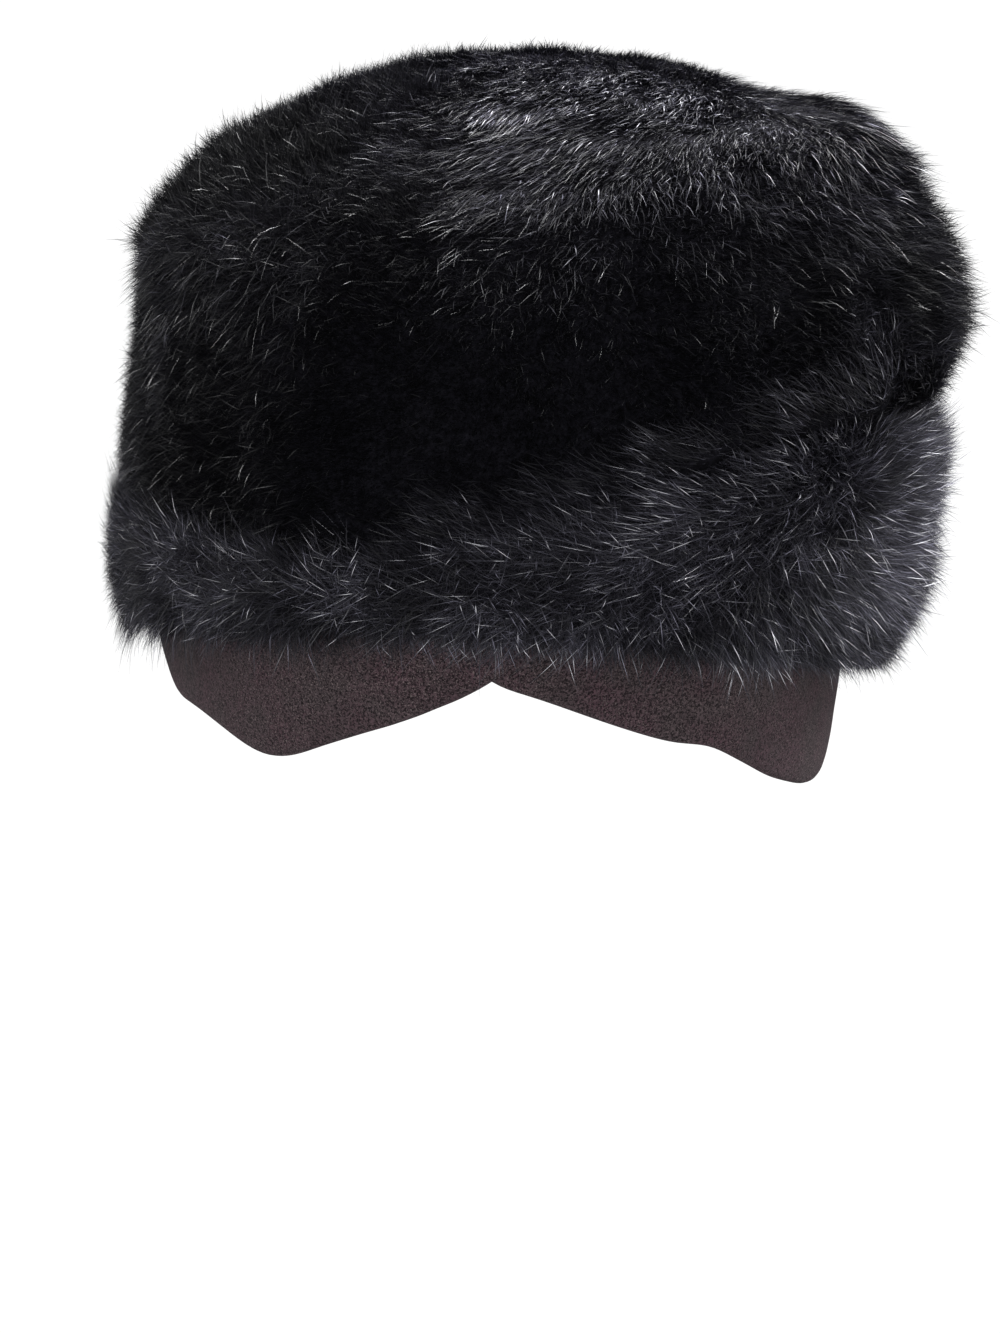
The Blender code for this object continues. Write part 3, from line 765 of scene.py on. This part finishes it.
def grow_hair(panel, undercoat, kind_name, seed, density, painted_light_gain, fineness=1.0):
    """Grows one coat of hairs on an undercoat, so many on a square metre, as a mesh piece of its own."""
    name, kind = f"{panel}_{kind_name}", KINDS[kind_name]
    helper = bpy.data.objects.new(name, undercoat.data)
    blade = bpy.data.objects.new("blade", blade_mesh(kind.segments))
    for made in (helper, blade):
        bpy.context.scene.collection.objects.link(made)
    settings = {
        "Blade": blade, "Hair": kind.material, "Seed": seed, "Density": density, "Painted light gain": painted_light_gain,
        "Clump density": kind.clump_density, "Height": kind.height, "Lay": kind.lay,
        "Width": kind.width * fineness, "Stray": kind.stray, "Gather": kind.gather,
    }
    grower = helper.modifiers.new("Hairs", "NODES")
    grower.node_group = HAIR_TREE
    for socket in HAIR_TREE.interface.items_tree:
        if socket.name in settings:
            grower[socket.identifier] = settings[socket.name]
    mesh = flatten_modifiers(helper, name)
    bpy.data.objects.remove(blade)
    for spent in SPENT:
        if spent in mesh.attributes:
            mesh.attributes.remove(mesh.attributes[spent])
    piece = new_piece(name, mesh, kind.material)


# Crown and cuff are one fur; their brightness gains are painted light and shade, the cuff painted
# brighter as it catches more light.
grow_hair("crown", crown_coat, "fuzz", seed=11, density=2.3e6, painted_light_gain=0.82)
grow_hair("crown", crown_coat, "long_hair", seed=12, density=7.6e5, painted_light_gain=0.82)
grow_hair("crown", crown_coat, "guard_hair", seed=13, density=2.6e5, painted_light_gain=0.82)
grow_hair("cuff", cuff_coat, "fuzz", seed=15, density=3.5e6, painted_light_gain=1.70, fineness=CUFF_FINENESS)
grow_hair("cuff", cuff_coat, "long_hair", seed=16, density=1.35e6, painted_light_gain=1.72, fineness=CUFF_FINENESS)
grow_hair("cuff", cuff_coat, "guard_hair", seed=17, density=4.2e5, painted_light_gain=1.75, fineness=CUFF_FINENESS)


# The studio: a plain white floor below the hat, which hangs in the air as if a head held it up, an
# even white surround, and lights from the right, the left, above, the front and behind. The camera
# looks slightly down on the hat and keeps it in the upper half of the picture, as the photo does.

FLOOR_HEIGHT, FLOOR_HALF = -0.32, 6
PHOTO_HEIGHT = 1333  # pixels
HAT_ROW = 365  # the row of pixels that the camera's aim falls on
PIXEL_AT_HAT = 0.000256  # metres that a pixel covers at the hat
SENSOR_WIDTH = 36.0


def add_floor():
    """The floor shows as plain white, and throws no light back up at the hat."""
    mesh = bpy.data.meshes.new("floor")
    around = ((-1, -1), (1, -1), (1, 1), (-1, 1))
    corners = [(x * FLOOR_HALF, y * FLOOR_HALF, FLOOR_HEIGHT) for x, y in around]
    mesh.from_pydata(corners, [], [(0, 1, 2, 3)])
    floor = bpy.data.objects.new("floor", mesh)
    bpy.context.scene.collection.objects.link(floor)
    material, _, shader = new_material("floor_white", Roughness=0.9, Emission_Strength=1.0)
    shader.inputs["Base Color"].default_value = (0.0, 0.0, 0.0, 1.0)
    shader.inputs["Emission Color"].default_value = (1.0, 1.0, 1.0, 1.0)
    set_material(floor, material)
    floor.visible_diffuse = floor.visible_glossy = floor.visible_shadow = False


def add_light(name, place, target, size, power):
    """A round white lamp of this width and this many watts, which faces its target."""
    light = bpy.data.lights.new(name, "AREA")
    light.shape = "DISK"
    light.size = size
    light.energy = power
    lamp = bpy.data.objects.new(name, light)
    bpy.context.scene.collection.objects.link(lamp)
    lamp.location = place
    lamp.rotation_euler = (Vector(target) - Vector(place)).to_track_quat("-Z", "Y").to_euler()


def add_world(strength):
    """Even white light from all round."""
    world = bpy.data.worlds.new("studio")
    world.use_nodes = True
    background = world.node_tree.nodes["Background"]
    background.inputs["Color"].default_value = (1.0, 1.0, 1.0, 1.0)
    background.inputs["Strength"].default_value = strength
    bpy.context.scene.world = world


def add_camera(elevation, distance, aim):
    """A portrait camera in front of the hat, this far up and this far away."""
    camera = bpy.data.cameras.new("camera")
    camera.sensor_width = SENSOR_WIDTH
    camera.lens = SENSOR_WIDTH * distance / (PHOTO_HEIGHT * PIXEL_AT_HAT)
    camera.shift_y = -(PHOTO_HEIGHT / 2 - HAT_ROW) / PHOTO_HEIGHT
    viewer = bpy.data.objects.new("camera", camera)
    bpy.context.scene.collection.objects.link(viewer)
    viewer.location = Vector(aim) + Vector((0, -math.cos(elevation), math.sin(elevation))) * distance
    viewer.rotation_euler = (math.radians(90) - elevation, 0, 0)
    bpy.context.scene.camera = viewer


add_floor()
add_light("key", (1.05, 0.15, 0.85), (0, 0, -0.05), 0.25, 8)
add_light("rim", (-1.05, 0.60, 0.80), (0, 0, -0.05), 0.30, 9)
add_light("overhead", (0.55, 0.25, 1.30), (0, 0, -0.05), 0.4, 46)
add_light("fill", (0.1, -1.4, 0.35), (0, 0, -0.08), 1.0, 9)
add_light("back", (0.15, 1.25, 0.70), (0, 0, 0.0), 0.5, 6)
add_world(0.45)
add_camera(math.radians(11), 1.2, (0, 0, -0.06))
bpy.context.scene.view_settings.view_transform = "Standard"
